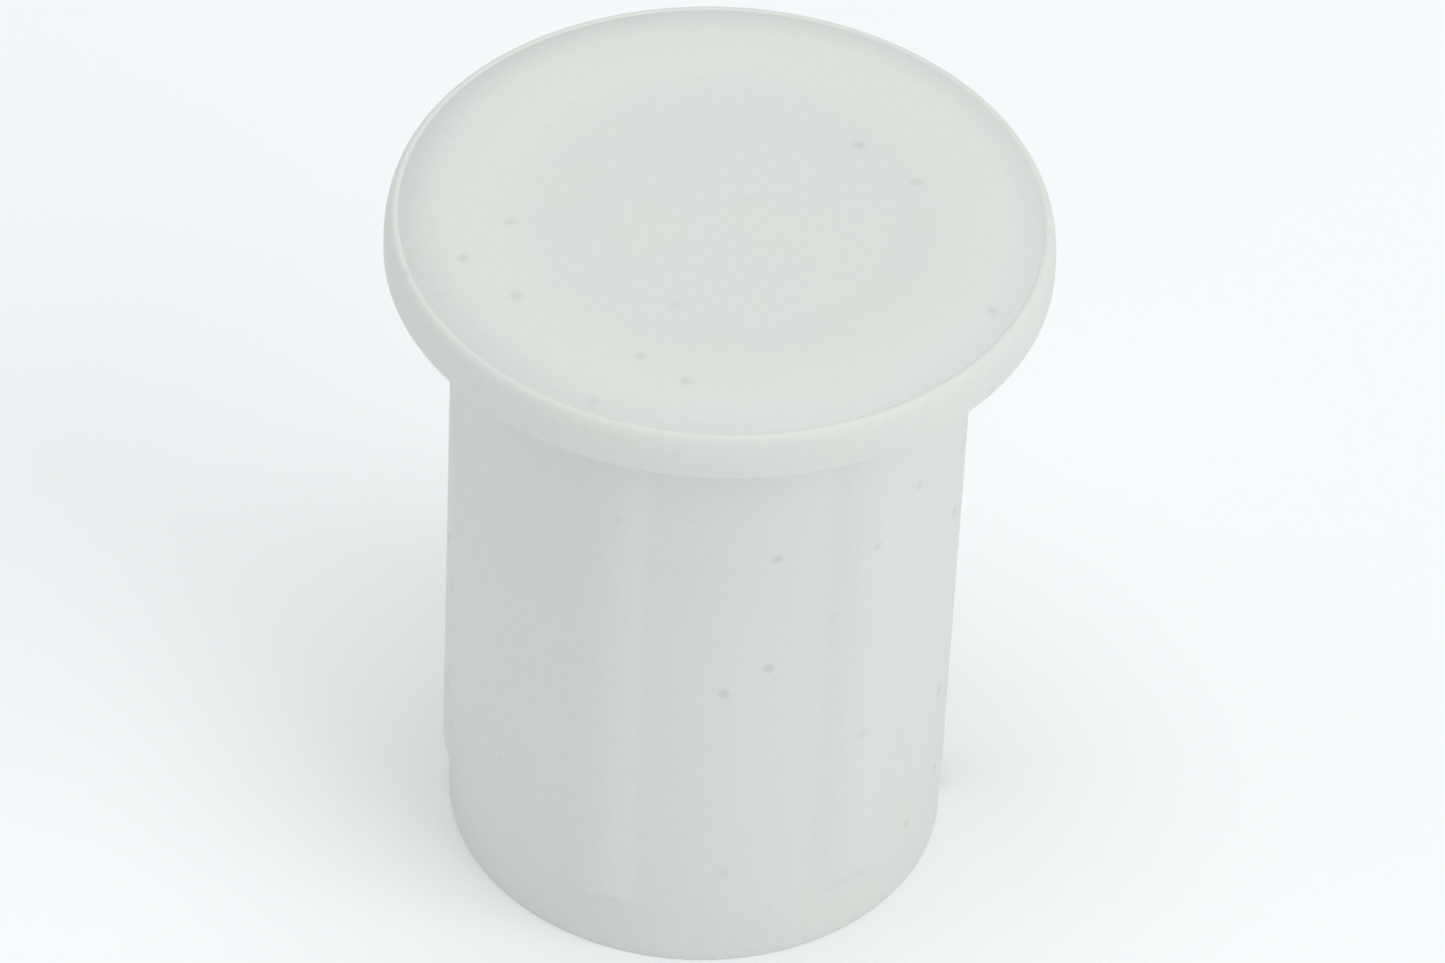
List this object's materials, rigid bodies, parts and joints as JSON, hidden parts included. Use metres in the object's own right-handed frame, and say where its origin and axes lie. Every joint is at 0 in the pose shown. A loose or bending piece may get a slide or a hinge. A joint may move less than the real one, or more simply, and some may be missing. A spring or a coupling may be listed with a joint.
{
  "type": "flanged split-sleeve wall anchor",
  "caption": "White flanged expansion anchor with ribbed split barrel, dished push-in cover cap and screw-drawn wedge.",
  "frame": {"origin": "on the anchor's axis, in the plane of the flange's underside, which is the wall's surface", "axes": "+Z along the axis, out of the wall towards the cap; +X through the expansion slit"},
  "size_m": [0.02, 0.02, 0.024],
  "materials": {
    "sleeve_nylon": "white moulded nylon with a soft satin surface",
    "cap_nylon": "white moulded nylon, slightly smoother than the sleeve",
    "wedge_nylon": "natural moulded nylon",
    "plated_steel": "bright zinc-plated steel"
  },
  "bodies": {
    "sleeve": {"sleeve": "sleeve_nylon", "washer": "plated_steel"},
    "cap": {"cap": "cap_nylon"},
    "screw": {"screw": "plated_steel"},
    "wedge": {"wedge": "wedge_nylon", "hex_nut": "plated_steel"}
  },
  "joints": [
    {"name": "cap_pull", "type": "slide", "parent": "sleeve", "child": "cap", "axis": [0, 0, 1], "range_m": [0, 0.012]},
    {"name": "screw_turn", "type": "hinge", "parent": "sleeve", "child": "screw", "pos_m": [0, 0, -0.0088], "axis": [0, 0, -1], "range_deg": [0, 720]},
    {"name": "wedge_rise", "type": "slide", "parent": "sleeve", "child": "wedge", "axis": [0, 0, 1], "range_m": [0, 0.0016]}
  ],
  "couplings": [
    {"joint": "screw_turn", "follows": "wedge_rise", "rad_per_m": 7854}
  ]
}
